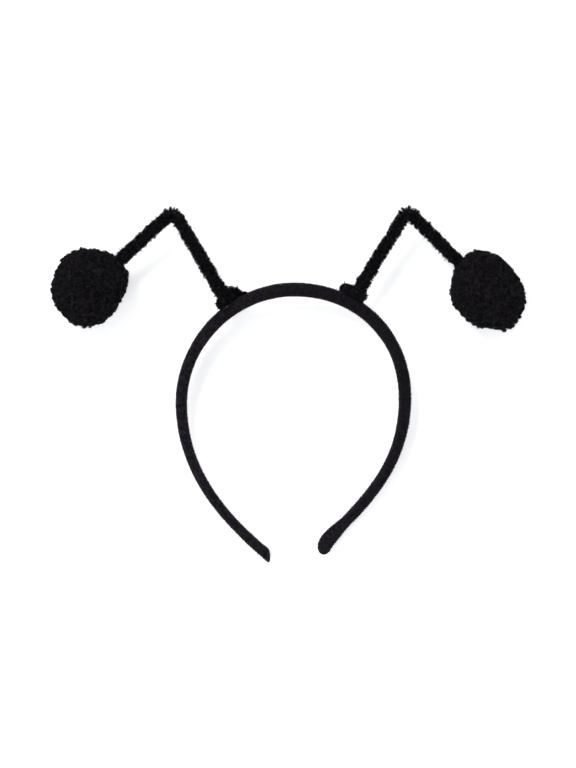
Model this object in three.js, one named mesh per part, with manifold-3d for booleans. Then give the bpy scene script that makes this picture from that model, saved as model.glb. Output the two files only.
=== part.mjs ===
// A costume hair band with two bent chenille antennae, each ending in a pompom, lying on its side.
// Millimetres, +Z up. The hoop is drawn in its own plane, with x across, y from the tips to the crown and
// z through the band's width, and is then leaned so that it rests on the pompoms and the band's tips.
import * as THREE from "three";
import { mergeVertices } from "three/addons/utils/BufferGeometryUtils.js";
import Module from "manifold-3d";

const wasm = await Module();
wasm.setup();

// Hair band: a springy strip under a close fabric cover
const hoopWidth = 122.6; // outside to outside at the widest level
const crownHeight = 62.7; // from the widest level up to the outside of the crown
const legDrop = 81.9; // from the widest level down to the end of the longer leg
const bandThickness = 6.4; // at the crown, fabric included
const bandWidth = 10.5; // at the crown, across the head's front to back
const bandEdgeRadius = 2.2;
const bandOuterCrown = 0.3; // how far the padded outer face swells at its middle
const twistLength = 24; // stretch of each leg over which the tip turns
const twistEnd = 8; // distance from the tip at which the twist is complete
const bandStep = 7; // length of one straight facet along the band
const cornerSteps = 2;

// How the strip changes from the crown (0) to the tip (1), as shares of its size at the crown
const BAND_SECTIONS = [
  { along: 0.0, thickness: 1.0, width: 1.0 },
  { along: 0.28, thickness: 0.92, width: 1.0 },
  { along: 0.5, thickness: 0.925, width: 0.97 },
  { along: 0.74, thickness: 0.765, width: 0.91 },
  { along: 1.0, thickness: 0.765, width: 0.86 },
];

// The two legs differ a little: lengths are shares of half the hoop's width (tipOut), of the leg's drop
// (widestLift, tipDrop and both handles) or of the strip's thickness (thicken, bulge, roundLength and slant);
// tipLean and twist are in degrees
const LEGS = [
  {
    side: -1,
    fullness: 1.97,
    widestLift: 0,
    sideHandle: 0.5,
    tipOut: 0.202,
    tipDrop: 1.0,
    tipHandle: 0.3,
    tipLean: 47.6,
    thicken: 0.95,
    twist: 6,
    bulge: 0,
    roundLength: 0.34,
    slant: 0.62,
  },
  {
    side: 1,
    fullness: 2.09,
    widestLift: 0.026,
    sideHandle: 0.55,
    tipOut: 0.25,
    tipDrop: 0.975,
    tipHandle: 0.29,
    tipLean: 29.5,
    thicken: 1.04,
    twist: 50,
    bulge: 0.14,
    roundLength: 0.85,
    slant: 0.1,
  },
];

// Chenille antennae: a wire-cored stem with a curled foot on the band
const stemDiameter = 6.8; // over the pile
const stemBendRadius = 3.8;
const stemSides = 12;
const sliver = 0.02; // what a join leaves thinner than this is merged away
const DOME_SHARES = [0.55, 0.9]; // shares of a strand's domed end at which it has a ring
const domeReach = 0.7; // length of that end, in strand radii
const seatGap = 0.3;
const riserPlant = 0.1; // lift of the riser's lower end inside its foot, in stem diameters
const plantedGirth = 0.8; // girth of that end, in stem diameters
const riserStart = 0.95; // lift at which the riser stands clear of its foot, in stem diameters

// Where each antenna stands and how long it is; the two were bent by hand and differ
const leftFootAt = 34.2; // along the band from the crown to the foot's middle
const leftRiserOut = -0.8; // from there to the riser, away from the crown
const leftRiserLength = 45.4; // from the foot to the knee
const leftDropLength = 58.9; // from the knee to the pompom's middle
const rightFootAt = 29.2;
const rightRiserOut = 2.5;
const rightRiserLength = 42.6;
const rightDropLength = 59.2;

// Pompoms: a head of short clipped locks, oval in the hoop's plane
const leftPompomAcross = 39;
const leftPompomTall = 42.2;
const rightPompomAcross = 36.6;
const rightPompomTall = 43.4;
const pompomDepth = 39; // through the hoop's plane
const lockCount = 72;
const lockSides = 5;
const lockHeight = 1.4;
const lockWidth = 8;
const lockTaper = 0.7; // width of a lock's clipped end, as a share of its foot's
const socketDepth = 11; // how far the stem's end goes into the head

// Glue that shows at the left foot's seat
const glueLength = 5;
const glueHeight = 2.4;
const glueOut = 1.6; // how far it lies from the foot's middle, away from the crown

// Each antenna: leans in degrees from straight up (riser) and straight down (drop). The foot's rows follow
// the strand from its cut end, in stem diameters: out along the band away from the crown, its underside's
// lift off the band, its middle to the front and its girth there
const ANTENNAE = [
  {
    name: "left",
    side: -1,
    footAt: leftFootAt,
    riserOut: leftRiserOut,
    riserLength: leftRiserLength,
    riserLean: 30.5,
    dropLength: leftDropLength,
    dropLean: 47.9,
    pompomAcross: leftPompomAcross,
    pompomTall: leftPompomTall,
    pompomTurn: -35,
    foot: [
      { out: -1.44, lift: 0, front: -0.1, girth: 0.34 },
      { out: -1.1, lift: 0, front: -0.26, girth: 0.42 },
      { out: -0.72, lift: 0, front: -0.42, girth: 0.56 },
      { out: -0.28, lift: 0, front: -0.5, girth: 0.7 },
      { out: 0.14, lift: 0, front: -0.44, girth: 0.74 },
      { out: 0.4, lift: 0, front: -0.1, girth: 0.76 },
      { out: 0.34, lift: 0.02, front: 0.3, girth: 0.76 },
      { out: 0, lift: 0.1, front: 0.5, girth: 0.76 },
      { out: -0.32, lift: 0.23, front: 0.3, girth: 0.76 },
      { out: -0.36, lift: 0.36, front: -0.06, girth: 0.78 },
      { out: -0.1, lift: 0.5, front: -0.22, girth: 0.76 },
    ],
  },
  {
    name: "right",
    side: 1,
    footAt: rightFootAt,
    riserOut: rightRiserOut,
    riserLength: rightRiserLength,
    riserLean: 31.5,
    dropLength: rightDropLength,
    dropLean: 45.3,
    pompomAcross: rightPompomAcross,
    pompomTall: rightPompomTall,
    pompomTurn: 40,
    foot: [
      { out: -0.62, lift: 0.01, front: -0.04, girth: 0.6 },
      { out: -0.5, lift: 0, front: -0.38, girth: 0.7 },
      { out: -0.1, lift: 0, front: -0.54, girth: 0.76 },
      { out: 0.36, lift: 0, front: -0.42, girth: 0.78 },
      { out: 0.66, lift: 0, front: -0.04, girth: 0.8 },
      { out: 0.5, lift: 0.01, front: 0.36, girth: 0.78 },
      { out: 0.04, lift: 0.02, front: 0.5, girth: 0.76 },
      { out: -0.28, lift: 0.05, front: 0.24, girth: 0.74 },
      { out: 0.04, lift: 0.08, front: 0.04, girth: 0.8 },
    ],
  },
];

const halfSpan = hoopWidth / 2 - (bandThickness * shareAt("thickness", 0.5)) / 2;
const crownRise = crownHeight - bandThickness / 2;
const stemRadius = stemDiameter / 2;
const degree = Math.PI / 180;

// The band's sizes between the rows of its table
function shareAt(column, along) {
  const after = Math.max(1, BAND_SECTIONS.findIndex((row) => row.along >= along));
  const [a, b] = [BAND_SECTIONS[after - 1], BAND_SECTIONS[after]];
  const mix = THREE.MathUtils.smoothstep(along, a.along, b.along);
  return THREE.MathUtils.lerp(a[column], b[column], mix);
}

// The hoop's middle line from the left tip over the crown to the right tip: two legs, each a cubic that
// leaves the widest level straight down, and two quarter ovals between them
class HoopLine extends THREE.Curve {
  constructor() {
    super();
    this.legs = LEGS.map((leg) => {
      const widest = new THREE.Vector3(leg.side * halfSpan, leg.widestLift * legDrop, 0);
      const tip = new THREE.Vector3(leg.side * leg.tipOut * halfSpan, -leg.tipDrop * legDrop, 0);
      const lean = leg.tipLean * degree;
      const back = new THREE.Vector3(leg.side * Math.sin(lean), Math.cos(lean), 0);
      const below = widest.clone().add(new THREE.Vector3(0, -leg.sideHandle * legDrop, 0));
      const before = tip.clone().addScaledVector(back, leg.tipHandle * legDrop);
      return new THREE.CubicBezierCurve3(widest, below, before, tip);
    });
    this.arcLengthDivisions = 1200;
  }

  getPoint(t, target = new THREE.Vector3()) {
    const stretch = Math.min(3, Math.floor(t * 4));
    const share = t * 4 - stretch;
    if (stretch === 0) return this.legs[0].getPoint(1 - share, target);
    if (stretch === 3) return this.legs[1].getPoint(share, target);
    const leg = LEGS[stretch - 1];
    const angle = ((stretch === 1 ? share : 1 - share) * Math.PI) / 2;
    const power = 2 / leg.fullness;
    const lift = leg.widestLift * legDrop;
    const across = leg.side * halfSpan * Math.max(0, Math.cos(angle)) ** power;
    return target.set(across, lift + (crownRise - lift) * Math.sin(angle) ** power, 0);
  }
}

const hoopLine = new HoopLine();
const hoopLength = hoopLine.getLength();
const crownAt = arcTo(0.5);

function arcTo(t) {
  const lengths = hoopLine.getLengths();
  return lengths[Math.round(t * (lengths.length - 1))];
}

// Everything about the band at a signed distance from the crown, left negative
function bandAt(distance) {
  const leg = LEGS[distance < 0 ? 0 : 1];
  const legLength = leg.side < 0 ? crownAt : hoopLength - crownAt;
  const along = Math.min(1, Math.abs(distance) / legLength);
  const u = THREE.MathUtils.clamp((crownAt + distance) / hoopLength, 0, 1);
  const tangent = hoopLine.getTangentAt(u);
  const evening = THREE.MathUtils.lerp(1, leg.thicken, THREE.MathUtils.smoothstep(along, 0.1, 0.5));
  const toTip = legLength - Math.abs(distance);
  const turned = THREE.MathUtils.smoothstep(twistLength - toTip, 0, twistLength - twistEnd);
  const outward = new THREE.Vector3(-tangent.y, tangent.x, 0);
  const bulge = leg.bulge * bandThickness * turned * THREE.MathUtils.smoothstep(toTip, 0, twistEnd);
  return {
    leg,
    toTip,
    tangent,
    outward,
    middle: hoopLine.getPointAt(u).addScaledVector(outward, -bulge),
    thickness: bandThickness * shareAt("thickness", along) * evening,
    width: bandWidth * shareAt("width", along),
    twist: leg.twist * degree * turned,
  };
}

// One closed section of the strip: a flat inner face, rounded edges and a swelling outer face
function bandOutline(thickness, width) {
  const radius = Math.min(bandEdgeRadius, thickness * 0.48, width * 0.48);
  const corners = [
    [thickness / 2 - radius, width / 2 - radius, 0],
    [-thickness / 2 + radius, width / 2 - radius, 1],
    [-thickness / 2 + radius, -width / 2 + radius, 2],
    [thickness / 2 - radius, -width / 2 + radius, 3],
  ];
  const outline = corners.flatMap(([n, w, turn]) =>
    Array.from({ length: cornerSteps + 1 }, (_, i) => {
      const angle = ((turn + i / cornerSteps) * Math.PI) / 2;
      return { n: n + radius * Math.cos(angle), w: w + radius * Math.sin(angle) };
    }),
  );
  const swell = (bandOuterCrown * thickness) / bandThickness;
  return [{ n: thickness / 2 + swell, w: 0 }, ...outline];
}

function bandRing(distance, grow, roundShare, reach) {
  const at = bandAt(distance);
  const narrow = Math.sqrt(1 - roundShare ** 2);
  const thin = (1 - roundShare ** 3) ** (1 / 3);
  const outline = bandOutline(at.thickness * thin + 2 * grow, at.width * narrow + 2 * grow);
  const sway = at.leg.side * at.twist;
  return outline.map(({ n, w }) => {
    const out = n * Math.cos(sway) - w * Math.sin(sway);
    const deep = n * Math.sin(sway) + w * Math.cos(sway);
    const slide = at.leg.side * (reach + at.leg.slant * n * roundFade(at));
    const point = at.middle.clone().addScaledVector(at.outward, out);
    return point.addScaledVector(at.tangent, slide).setZ(deep);
  });
}

// How much of the end's slant a section takes: all at the tip, none a band's width before it
function roundFade({ toTip, width }) {
  return THREE.MathUtils.smoothstep(width - toTip, 0, width);
}

// Shares of the rounded end's length at which it has a section
const END_ROUNDING = [0.45, 0.75, 0.92, 0.985];

function bandGeometry(grow = 0) {
  const rings = [];
  const rounds = LEGS.map((leg) => leg.roundLength * bandThickness);
  const ends = [-(crownAt - rounds[0]), hoopLength - crownAt - rounds[1]];
  const tip = (index) =>
    END_ROUNDING.map((share) => {
      const distance = ends[index] + LEGS[index].side * share * rounds[index];
      return bandRing(distance, grow, share, grow);
    });
  rings.push(...tip(0).reverse());
  const halves = ends.map((end) => Math.round(Math.abs(end) / bandStep - 0.5));
  const middle = bandStep / 2; // a facet stands square across the crown
  for (let i = halves[0]; i >= 0; i--) {
    const share = i / halves[0];
    rings.push(bandRing(-THREE.MathUtils.lerp(middle, -ends[0], share), grow, 0, 0));
  }
  for (let i = 0; i <= halves[1]; i++) {
    const share = i / halves[1];
    rings.push(bandRing(THREE.MathUtils.lerp(middle, ends[1], share), grow, 0, 0));
  }
  rings.push(...tip(1));
  return loft(rings);
}

// A closed skin over rings that have the same number of points
function loft(rings) {
  const count = rings[0].length;
  const points = rings.flat();
  const faces = [];
  for (let i = 0; i + 1 < rings.length; i++) {
    for (let j = 0; j < count; j++) {
      const [a, b] = [i * count + j, i * count + ((j + 1) % count)];
      faces.push(a, b, a + count, b, b + count, a + count);
    }
  }
  const ends = [rings[0], rings.at(-1)];
  ends.forEach((ring, which) => {
    const centre = ring.reduce((sum, p) => sum.add(p), new THREE.Vector3()).divideScalar(count);
    const first = which ? (rings.length - 1) * count : 0;
    const hub = points.push(centre) - 1;
    for (let j = 0; j < count; j++) {
      const [a, b] = [first + j, first + ((j + 1) % count)];
      faces.push(...(which ? [a, b, hub] : [b, a, hub]));
    }
  });
  return new THREE.BufferGeometry().setFromPoints(points).setIndex(faces);
}

function toSolid(geometry) {
  const bare = geometry.clone();
  bare.deleteAttribute("normal");
  bare.deleteAttribute("uv");
  const merged = mergeVertices(bare, 1e-4);
  const vertProperties = merged.attributes.position.array;
  const triVerts = new Uint32Array(merged.index.array);
  return new wasm.Manifold(new wasm.Mesh({ numProp: 3, vertProperties, triVerts }));
}

function toGeometry(solid) {
  const mesh = solid.getMesh();
  const geometry = new THREE.BufferGeometry();
  geometry.setAttribute("position", new THREE.BufferAttribute(mesh.vertProperties, 3));
  geometry.setIndex(new THREE.BufferAttribute(mesh.triVerts, 1));
  return geometry;
}

// A round strand through rows of a point and a girth, with domed ends
function strand(rows, grow) {
  const tangents = rows.map((row, i) => {
    const [before, after] = [rows[Math.max(0, i - 1)].point, rows[Math.min(rows.length - 1, i + 1)].point];
    const arrive = row.point.clone().sub(before).normalize();
    return after.clone().sub(row.point).normalize().add(arrive).normalize();
  });
  let normal = new THREE.Vector3(0, 0, 1);
  const frames = tangents.map((tangent) => {
    normal = normal.clone().projectOnPlane(tangent).normalize();
    return { tangent, normal, binormal: tangent.clone().cross(normal) };
  });
  const radiusAt = (index) => stemRadius * rows[index].girth + grow;
  const ring = (index, radius, slide) =>
    Array.from({ length: stemSides }, (_, j) => {
      const angle = (j / stemSides) * 2 * Math.PI;
      const { tangent, normal, binormal } = frames[index];
      const point = rows[index].point.clone().addScaledVector(tangent, slide);
      point.addScaledVector(normal, radius * Math.cos(angle));
      return point.addScaledVector(binormal, radius * Math.sin(angle));
    });
  const dome = (index, sign) =>
    DOME_SHARES.map((share) => {
      const radius = radiusAt(index);
      return ring(index, radius * Math.sqrt(1 - share ** 2), sign * share * radius * domeReach);
    });
  const body = rows.map((_, i) => ring(i, radiusAt(i), 0));
  return toSolid(loft([...dome(0, -1).reverse(), ...body, ...dome(rows.length - 1, 1)]));
}

// A point of an antenna's foot: out along the band, up off its outer face and to the front
function footPoint(antenna, { out, lift, front, girth }) {
  const at = bandAt(antenna.side * (antenna.footAt + out * stemDiameter));
  const seat = at.thickness / 2 + bandOuterCrown + seatGap;
  const height = seat + (lift + girth / 2) * stemDiameter;
  return at.middle.addScaledVector(at.outward, height).setZ(front * stemDiameter);
}

// The places that an antenna's stem goes through above its foot
function antennaPlaces(antenna) {
  const lean = antenna.riserLean * degree;
  const rise = new THREE.Vector3(antenna.side * Math.sin(lean), Math.cos(lean), 0);
  const dropLean = antenna.dropLean * degree;
  const drop = new THREE.Vector3(antenna.side * Math.sin(dropLean), -Math.cos(dropLean), 0);
  const start = { out: antenna.riserOut / stemDiameter, lift: riserStart, front: 0, girth: 1 };
  const base = footPoint(antenna, start);
  const corner = base.clone().addScaledVector(rise, antenna.riserLength);
  const pompom = corner.clone().addScaledVector(drop, antenna.dropLength);
  return { base, rise, drop, corner, pompom };
}

// The riser up to the knee's middle and the drop down from it
function stemPoints(antenna) {
  const { base, rise, drop, corner, pompom } = antennaPlaces(antenna);
  const half = rise.clone().negate().angleTo(drop) / 2;
  const setBack = stemBendRadius / Math.tan(half);
  const bendIn = corner.clone().addScaledVector(rise, -setBack);
  const bendOut = corner.clone().addScaledVector(drop, setBack);
  const inward = drop.clone().sub(rise).normalize();
  const knee = corner.clone().addScaledVector(inward, stemBendRadius / Math.sin(half) - stemBendRadius);
  const reach = Math.min(antenna.pompomAcross, antenna.pompomTall) / 2;
  const end = pompom.clone().addScaledVector(drop, socketDepth - reach);
  return { riser: [base, bendIn, knee], drop: [knee, bendOut, end] };
}

// The strand is drawn in short stretches, none of which bends into itself, and joined
function antennaSolid(antenna, grow = 0) {
  const foot = antenna.foot.map((row) => ({ point: footPoint(antenna, row), girth: row.girth }));
  const stretches = [];
  for (let i = 0; i + 1 < foot.length; i += 2) stretches.push(foot.slice(i, i + 3));
  const planted = { out: antenna.riserOut / stemDiameter, lift: riserPlant, front: 0, girth: plantedGirth };
  const root = { point: footPoint(antenna, planted), girth: plantedGirth };
  const { riser, drop } = stemPoints(antenna);
  const full = (points) => points.map((point) => ({ point, girth: 1 }));
  stretches.push([root, ...full(riser)], full(drop));
  return wasm.Manifold.union(stretches.map((rows) => strand(rows, grow))).simplify(sliver);
}

// Directions spread evenly over a ball
function spreadDirections(count) {
  const goldenAngle = Math.PI * (3 - Math.sqrt(5));
  return Array.from({ length: count }, (_, i) => {
    const level = 1 - (2 * (i + 0.5)) / count;
    const round = Math.sqrt(1 - level ** 2);
    return new THREE.Vector3(
      round * Math.cos(goldenAngle * i),
      round * Math.sin(goldenAngle * i),
      level,
    );
  });
}

// One blunt lock standing on the point (0, 0, 0), its clipped end up along y
function lockGeometry() {
  const [foot, end] = [lockWidth / 2, (lockWidth / 2) * lockTaper];
  return new THREE.CylinderGeometry(end, foot, 2 * lockHeight, lockSides);
}

// A clipped head: a ball of locks on a core, with a socket for the stem's end
function pompomSolid(antenna) {
  const half = new THREE.Vector3(antenna.pompomAcross, antenna.pompomTall, pompomDepth).divideScalar(2);
  const coreHalf = half.clone().subScalar(lockHeight);
  const turn = new THREE.Matrix4().makeRotationZ(antenna.pompomTurn * degree);
  const core = new THREE.SphereGeometry(1, 14, 9).scale(coreHalf.x, coreHalf.y, coreHalf.z);
  const up = new THREE.Vector3(0, 1, 0);
  const locks = spreadDirections(lockCount).map((direction) => {
    const place = direction.clone().multiply(coreHalf);
    const facing = direction.clone().divide(coreHalf).normalize();
    const pose = new THREE.Matrix4().makeRotationFromQuaternion(
      new THREE.Quaternion().setFromUnitVectors(up, facing),
    );
    return toSolid(lockGeometry().applyMatrix4(pose.setPosition(place)).applyMatrix4(turn));
  });
  const { pompom } = antennaPlaces(antenna);
  const head = wasm.Manifold.union([toSolid(core.applyMatrix4(turn)), ...locks]);
  return head.translate(pompom.toArray()).subtract(antennaSolid(antenna, seatGap));
}

// A bead of hot glue squeezed out in front, between the left foot and the band
function glueSolid(antenna) {
  const at = bandAt(antenna.side * (antenna.footAt + glueOut));
  const bead = new THREE.SphereGeometry(0.5, 12, 8).scale(glueLength, glueHeight, glueHeight);
  const turn = Math.atan2(at.tangent.y, at.tangent.x);
  const place = at.middle.clone().addScaledVector(at.outward, at.thickness / 2 + seatGap);
  place.setZ(at.width / 2 - seatGap);
  bead.rotateZ(turn).translate(place.x, place.y, place.z);
  return toSolid(bead).subtract(toSolid(bandGeometry(seatGap))).subtract(antennaSolid(antenna, seatGap));
}

const coverFabric = new THREE.MeshStandardMaterial({ color: 0x1c1a1e, roughness: 0.9, metalness: 0 });
const chenille = new THREE.MeshStandardMaterial({ color: 0x0d0d0f, roughness: 1, metalness: 0 });
const pompomYarn = new THREE.MeshStandardMaterial({ color: 0x141215, roughness: 1, metalness: 0 });
const hotGlue = new THREE.MeshStandardMaterial({ color: 0x8d8a84, roughness: 0.2, metalness: 0 });

function piece(name, geometry, material) {
  const mesh = new THREE.Mesh(geometry, material);
  mesh.name = name;
  return mesh;
}

function hoopPieces() {
  const pieces = [piece("hair_band", bandGeometry(), coverFabric)];
  for (const antenna of ANTENNAE) {
    pieces.push(piece(`antenna_${antenna.name}`, toGeometry(antennaSolid(antenna)), chenille));
    pieces.push(piece(`pompom_${antenna.name}`, toGeometry(pompomSolid(antenna)), pompomYarn));
  }
  pieces.push(piece("glue_bead_left", toGeometry(glueSolid(ANTENNAE[0])), hotGlue));
  return pieces;
}

// The lean at which the pompoms and the band's tips lie on one level
function restingLean() {
  const pompomLevel = (antennaPlaces(ANTENNAE[0]).pompom.y + antennaPlaces(ANTENNAE[1]).pompom.y) / 2;
  const tipHalfWidth = (bandWidth * shareAt("width", 1)) / 2;
  return Math.asin((pompomDepth / 2 - tipHalfWidth) / (pompomLevel + legDrop));
}

const headband = new THREE.Group();
headband.add(...hoopPieces());
headband.rotation.x = restingLean();

const object = new THREE.Group();
object.add(headband);
object.updateMatrixWorld(true);
const reach = new THREE.Box3().setFromObject(object, true);
const middle = reach.getCenter(new THREE.Vector3());
headband.position.set(-middle.x, -middle.y, -reach.min.z);

export default object;
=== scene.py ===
"""A costume hair band with chenille antennae and pompoms, lying on a pale table top and seen from above.

The hoop is drawn in its own plane in millimetres: across, along (from its open ends towards the crown)
and deep (through the band's width). to_table() turns that plane to where the hoop lies, in metres.
"""
import math

import bpy
import numpy as np
from mathutils import Matrix


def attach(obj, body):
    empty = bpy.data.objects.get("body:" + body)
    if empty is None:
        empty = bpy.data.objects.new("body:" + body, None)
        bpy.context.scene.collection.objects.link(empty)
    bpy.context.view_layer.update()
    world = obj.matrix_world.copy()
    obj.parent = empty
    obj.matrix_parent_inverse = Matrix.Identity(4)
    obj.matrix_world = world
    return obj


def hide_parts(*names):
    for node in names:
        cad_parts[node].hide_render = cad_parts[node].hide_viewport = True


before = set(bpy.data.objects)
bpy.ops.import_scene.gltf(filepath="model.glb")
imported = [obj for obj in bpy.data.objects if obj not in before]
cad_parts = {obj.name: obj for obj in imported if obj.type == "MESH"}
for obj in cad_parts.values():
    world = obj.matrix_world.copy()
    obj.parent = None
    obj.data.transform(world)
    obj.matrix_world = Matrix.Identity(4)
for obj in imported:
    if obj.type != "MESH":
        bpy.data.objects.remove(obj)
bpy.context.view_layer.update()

MM = 0.001
TAU = 2 * math.pi

# How the hoop lies: leaned back so that it rests on its pompoms and on the band's ends
LEAN = math.radians(6.084)
HOOP_PLACE = np.array([2.25, -8.56, 13.43])  # where the middle of its widest level comes, in millimetres

# The hair band, in millimetres
HOOP_WIDTH = 122.6  # outside to outside at the widest level
CROWN_HEIGHT = 62.7  # from that level up to the outside of the crown
LEG_DROP = 81.9  # and down to the end of the longer leg
BAND_THICKNESS = 6.4
BAND_WIDTH = 10.5
BAND_EDGE = 2.2
BAND_SWELL = 0.3  # how far the padded outer face swells at its middle
TWIST_LENGTH = 28.0
TWIST_END = 8.0  # distance from the tip at which the twist is complete

# How the band changes from the crown (0) to the tip (1), as shares of its size at the crown
BAND_SECTIONS = dict(
    along=np.array([0.0, 0.28, 0.34, 0.45, 0.55, 0.65, 0.75, 1.0]),
    thickness=np.array([1.035, 0.97, 0.908, 0.89, 0.855, 0.788, 0.765, 0.75]),
    width=np.array([1.0, 1.0, 0.995, 0.98, 0.96, 0.94, 0.91, 0.86]),
)

# Each leg's curve in shares of half the hoop's width (tip_out) and of the leg's drop (lift, tip_drop and both
# handles), tip_lean and twist in degrees, and how its thickness and its end differ from the other leg's
LEGS = [
    dict(side=-1, fullness=1.945, lift=0.0, side_handle=0.5, tip_out=0.2065, tip_drop=1.001, tip_handle=0.3,
         tip_lean=48.5, thicken=0.95, tip_swell=-0.055, twist=6, bulge=0.0, round_length=0.3, slant=0.9,
         fold=0.38),
    dict(side=1, fullness=2.105, lift=0.026, side_handle=0.54, tip_out=0.25, tip_drop=0.975, tip_handle=0.29,
         tip_lean=29.5, thicken=1.05, tip_swell=0.03, twist=50, bulge=0.9, round_length=0.85, slant=0.1,
         fold=0.12),
]

# The cover
FOLD_LENGTH = 4.4  # of the cloth that is folded in at each end
LINING_RAISE = 0.22
RING_STEP = 0.4
RIB_PITCH = 1.45
RIB_DEPTH = 0.046  # as a share of the section
NAP_ROOM = 0.09  # how far the nap's roots lie inside the cover's size
COVER_PILE = 42000
COVER_REST = 0.15  # height at which the flattened cloth lies on the table top
BLACKEST_AT = 60.0  # distance from the crown where the cover is coloured blackest; it is coloured lighter away from there
BLACKEST_REACH = 170.0

# The chenille stems
STEM_RADIUS = 3.4  # over the pile
STEM_DIAMETER = 2 * STEM_RADIUS
WIRE_TWIST = 3.2  # length of one turn of the twisted wire
BEND_POINTS = 14
KNEE_RADIUS = 2.2
KNEE_SWELL = 0.08  # how much the pile opens out at the knee, as a share of the radius
KNEE_SPREAD = 4.0
SEAT_GAP = 0.3
RISER_START = 0.95  # lift at which the riser stands clear of its foot, in stem diameters
RISER_PLANT = 0.1  # lift of the riser's lower end inside its foot, in stem diameters
PLANT_GIRTH = 0.8  # girth of that end, as a share of the stem's
SKIRT_LENGTH = 11.0  # how far up the riser its glued, bushier lower end goes
SOCKET_DEPTH = 11.0
FOOT_FULLNESS = 1.12
FOOT_SINK = 0.9  # how far the foot's pile presses down where the foot is glued
NAP_PRESS = 0.16  # how far what rests on the cover presses into its nap

# The pile on them
STEM_FIBRES_A_MM = 500
FOOT_FIBRES_A_MM = 520
FIBRE_WIDTHS = (0.12, 0.06)  # at the root and at the tip
LONG_HAIR_SHARE = 0.008
CLUMP_PITCH = 0.8
CLUMP_PULL = 0.5  # how far a fibre's root moves to the middle of its clump
TUFTS_A_MM = 13
TUFT_WIDTHS = (0.65, 0.4)
TOOTH_SHARE = 0.32  # of the tufts, those that stand well past the pile
TOOTH_REACH = (0.5, 1.4)

# The pompoms
POMPOM_DEPTH = 39.0
POMPOM_TUFTS = 1500
TUFT_FIBRES = 60
TUFT_SPREAD = 0.5
TUFT_CUT = 0.2  # how far inside the head's size the tufts are cut, before they stray
YARN_WIDTHS = (0.2, 0.13)
BLOOMED_SHARE = 0.35  # of a tuft's fibres, those that have opened out at the clipped end
STRAY_SHARE = 0.016
YARN_REST = 0.2  # height at which the flattened tufts lie on the table top

# Each antenna, bent by hand: its place and lengths, its leans in degrees, its pompom's size and turn, how bushy
# it is and how much painted shade darkens its foot. The foot's rows follow the strand from its cut end, in stem
# diameters: out along the band away from the crown, lift off the band, forward through the band's width, and
# girth
ANTENNAE = [
    dict(name="left", side=-1, foot_at=34.2, riser_out=-0.8, riser_length=45.4, riser_lean=30.4,
         drop_length=58.9, drop_lean=47.9, across=39.0, tall=42.2, turn=-35, bushy=1.04, skirt=0.1, foot_shade=0.62,
         foot=[(-1.6, 0, -0.02, 0.2), (-1.16, 0, -0.16, 0.38), (-0.74, -0.03, -0.34, 1),
               (-0.28, 0.05, -0.4, 1.16), (0.1, 0, -0.42, 0.76), (0.3, 0, -0.1, 0.78), (0.26, 0.02, 0.3, 0.78),
               (0.04, 0.14, 0.5, 0.78), (-0.32, 0.23, 0.3, 0.76), (-0.36, 0.36, -0.06, 0.78),
               (-0.1, 0.5, -0.22, 0.76)]),
    dict(name="right", side=1, foot_at=29.2, riser_out=2.35, riser_length=42.6, riser_lean=31.5,
         drop_length=59.2, drop_lean=45.3, across=36.6, tall=43.4, turn=40, bushy=1.015, skirt=0.09, foot_shade=0.3,
         foot=[(-0.62, 0.02, -0.04, 0.62), (-0.5, 0.02, -0.38, 0.74), (-0.1, 0.03, -0.54, 0.8),
               (0.36, 0, -0.42, 0.78), (0.62, 0, -0.04, 0.84), (0.54, 0.1, 0.36, 0.86), (0.1, 0.08, 0.5, 0.78),
               (-0.28, 0.05, 0.24, 0.74), (0.04, 0.08, 0.04, 0.8)]),
]

# Where a pompom was clipped fuller or flatter: the heading in the hoop's plane in degrees, how far in
# millimetres, and how wide in degrees
CLIPPING = {
    "left": [(-30, -2.1, 30), (22, 1.1, 15), (75, -0.6, 20), (118, 1.2, 26), (198, 0.3, 30), (216, -2.0, 14),
             (262, 0.4, 22)],
    "right": [(-62, 2.2, 16), (-82, -1.4, 12), (-28, 0.6, 14), (28, -1.5, 32), (108, 1.0, 24), (160, -1.6, 12),
              (206, 0.9, 24), (255, 0.7, 16)],
}

# The glue: its size along, off and through the band, and how far it lies from the foot's middle
GLUE_SIZE = (4.3, 1.7, 1.9)
GLUE_OUT = 0.95

# The camera, straight above the hoop, in metres and millimetres of lens
CAMERA_OVER = (-0.00042, 0.00149)
CAMERA_HEIGHT = 1.0195
CAMERA_LENS = 90.15


def unit(vectors):
    return vectors / np.linalg.norm(vectors, axis=-1, keepdims=True)


def smooth(values, low, high):
    share = np.clip((values - low) / (high - low), 0, 1)
    return share * share * (3 - 2 * share)


def ripple(places, wavelengths, seed):
    """Gentle unevenness between about -1 and 1: a few waves along each column of places"""
    rng = np.random.default_rng(seed)
    total = 0
    for wavelength in wavelengths:
        direction = unit(rng.normal(size=places.shape[-1]))
        total = total + np.sin(places @ direction * TAU / wavelength + rng.uniform(0, TAU))
    return total / len(wavelengths)


def to_table(points):
    """Turns points of the hoop's plane, in millimetres, to where the hoop lies, in metres"""
    across, along, deep = points[..., 0], points[..., 1], points[..., 2]
    lain = np.stack([
        across,
        along * math.cos(LEAN) - deep * math.sin(LEAN),
        along * math.sin(LEAN) + deep * math.cos(LEAN),
    ], axis=-1)
    return (lain + HOOP_PLACE) * MM


def band_share(column, along):
    rows = BAND_SECTIONS["along"]
    after = np.clip(np.searchsorted(rows, along), 1, len(rows) - 1)
    mix = smooth(along, rows[after - 1], rows[after])
    shares = BAND_SECTIONS[column]
    return shares[after - 1] + mix * (shares[after] - shares[after - 1])


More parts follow.
